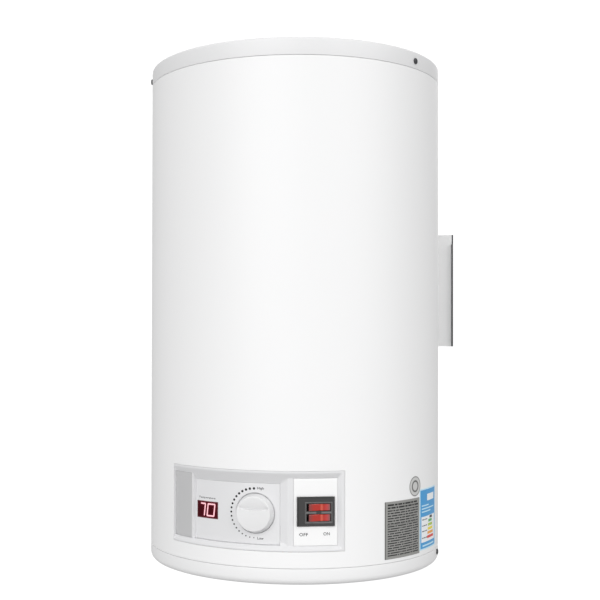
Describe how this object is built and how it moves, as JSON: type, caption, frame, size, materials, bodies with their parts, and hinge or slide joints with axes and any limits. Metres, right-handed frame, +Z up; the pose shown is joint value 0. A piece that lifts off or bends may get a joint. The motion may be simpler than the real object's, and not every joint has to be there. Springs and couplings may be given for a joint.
{
  "type": "tank water heater",
  "caption": "Wall-hung electric tank water heater: tall white round body, curved control panel with display, dial and rocker switch, rear wall bracket, pipes below.",
  "frame": {"origin": "centre of the wall bracket's four slots, on the wall plane", "axes": "+Z up, +Y into the wall, the control panel faces -Y"},
  "size_m": [0.455, 0.4833, 0.783],
  "materials": {
    "white_steel": "satin white paint",
    "cap_white": "satin moulded white",
    "panel_grey": "satin moulded light grey",
    "trim_grey": "matt mid grey",
    "plate_white": "gloss white",
    "knob_white": "satin white",
    "display_red": "dark red tinted window",
    "display_led": "dark red display face",
    "board_green": "green circuit board",
    "switch_black": "satin black",
    "rocker_red": "translucent red",
    "screw_dark": "blackened steel",
    "label_metal": "printed metallic foil",
    "label_print": "printed film",
    "seal_metal": "printed metallic foil",
    "bracket_white": "white powder coat",
    "zinc_steel": "zinc plated",
    "enamel_blue": "blue vitreous enamel",
    "foam_cream": "rigid foam",
    "pipe_steel": "plated threaded steel",
    "collar_blue": "blue moulded",
    "collar_red": "red moulded",
    "tank_plastic": "natural moulded",
    "gasket_rubber": "black rubber",
    "element_steel": "oxidised sheath",
    "anode_metal": "cast magnesium",
    "brass": "turned brass",
    "copper": "drawn copper",
    "black_plastic": "matt black",
    "wire_brown": "brown sleeve",
    "wire_blue": "blue sleeve",
    "wire_grey": "grey sleeve"
  },
  "bodies": {
    "case": {"outer_shell": "white_steel", "top_cap": "cap_white", "bottom_cap": "cap_white", "top_cap_screws": "screw_dark", "bottom_cap_screws": "screw_dark", "panel_frame": "panel_grey", "main_plate": "panel_grey", "end_trim": "trim_grey", "switch_plate": "plate_white", "display_window": "display_red", "led_display": "display_led", "display_board": "board_green", "thermostat_body": "black_plastic", "thermostat_bulb": "copper", "capillary_tube": "copper", "switch_housing": "switch_black", "switch_terminals": "zinc_steel", "rating_label": "label_metal", "efficiency_label": "label_print", "seal_sticker": "seal_metal", "wall_bracket": "bracket_white", "support_legs": "bracket_white", "bracket_screws": "zinc_steel", "bracket_nuts": "zinc_steel", "inner_tank": "enamel_blue", "foam_insulation": "foam_cream", "inlet_pipe": "pipe_steel", "outlet_pipe": "pipe_steel", "inlet_collar": "collar_blue", "outlet_collar": "collar_red", "inlet_diffuser": "tank_plastic", "outlet_tube": "pipe_steel", "flange_studs": "zinc_steel", "flange_gasket": "gasket_rubber", "tank_flange": "zinc_steel", "flange_nuts": "zinc_steel", "heating_element_long": "element_steel", "heating_element_short": "element_steel", "element_terminals": "zinc_steel", "anode_rod": "anode_metal", "anode_nut": "brass", "thermostat_well": "brass", "cutout_well": "brass", "thermal_cutout": "black_plastic", "terminal_block": "tank_plastic", "service_cover": "cap_white", "service_cover_screws": "screw_dark", "cable_gland": "black_plastic", "gland_nut": "black_plastic", "element_wires": "wire_brown", "switch_wires": "wire_blue", "display_cable": "wire_grey"},
    "knob": {"temperature_knob": "knob_white", "thermostat_spindle": "zinc_steel"},
    "upper_rocker": {"rocker_upper": "rocker_red"},
    "lower_rocker": {"rocker_lower": "rocker_red"},
    "reset": {"reset_button": "collar_red"}
  },
  "joints": [
    {"name": "knob_turn", "type": "hinge", "parent": "case", "child": "knob", "pos_m": [0.0075, -0.46897, -0.3266], "axis": [0.035, -0.9994, 0], "range_deg": [-90, 90]},
    {"name": "upper_rocker_tilt", "type": "hinge", "parent": "case", "child": "upper_rocker", "pos_m": [0.09246, -0.45118, -0.31597], "axis": [0, 0, -1], "range_deg": [0, 14]},
    {"name": "lower_rocker_tilt", "type": "hinge", "parent": "case", "child": "lower_rocker", "pos_m": [0.09246, -0.45118, -0.33037], "axis": [0, 0, -1], "range_deg": [0, 14]},
    {"name": "reset_press", "type": "slide", "parent": "case", "child": "reset", "axis": [0, 0, 1], "range_m": [0, 0.0018], "stiffness_N_per_m": 1200, "springref_m": -0.0006}
  ]
}
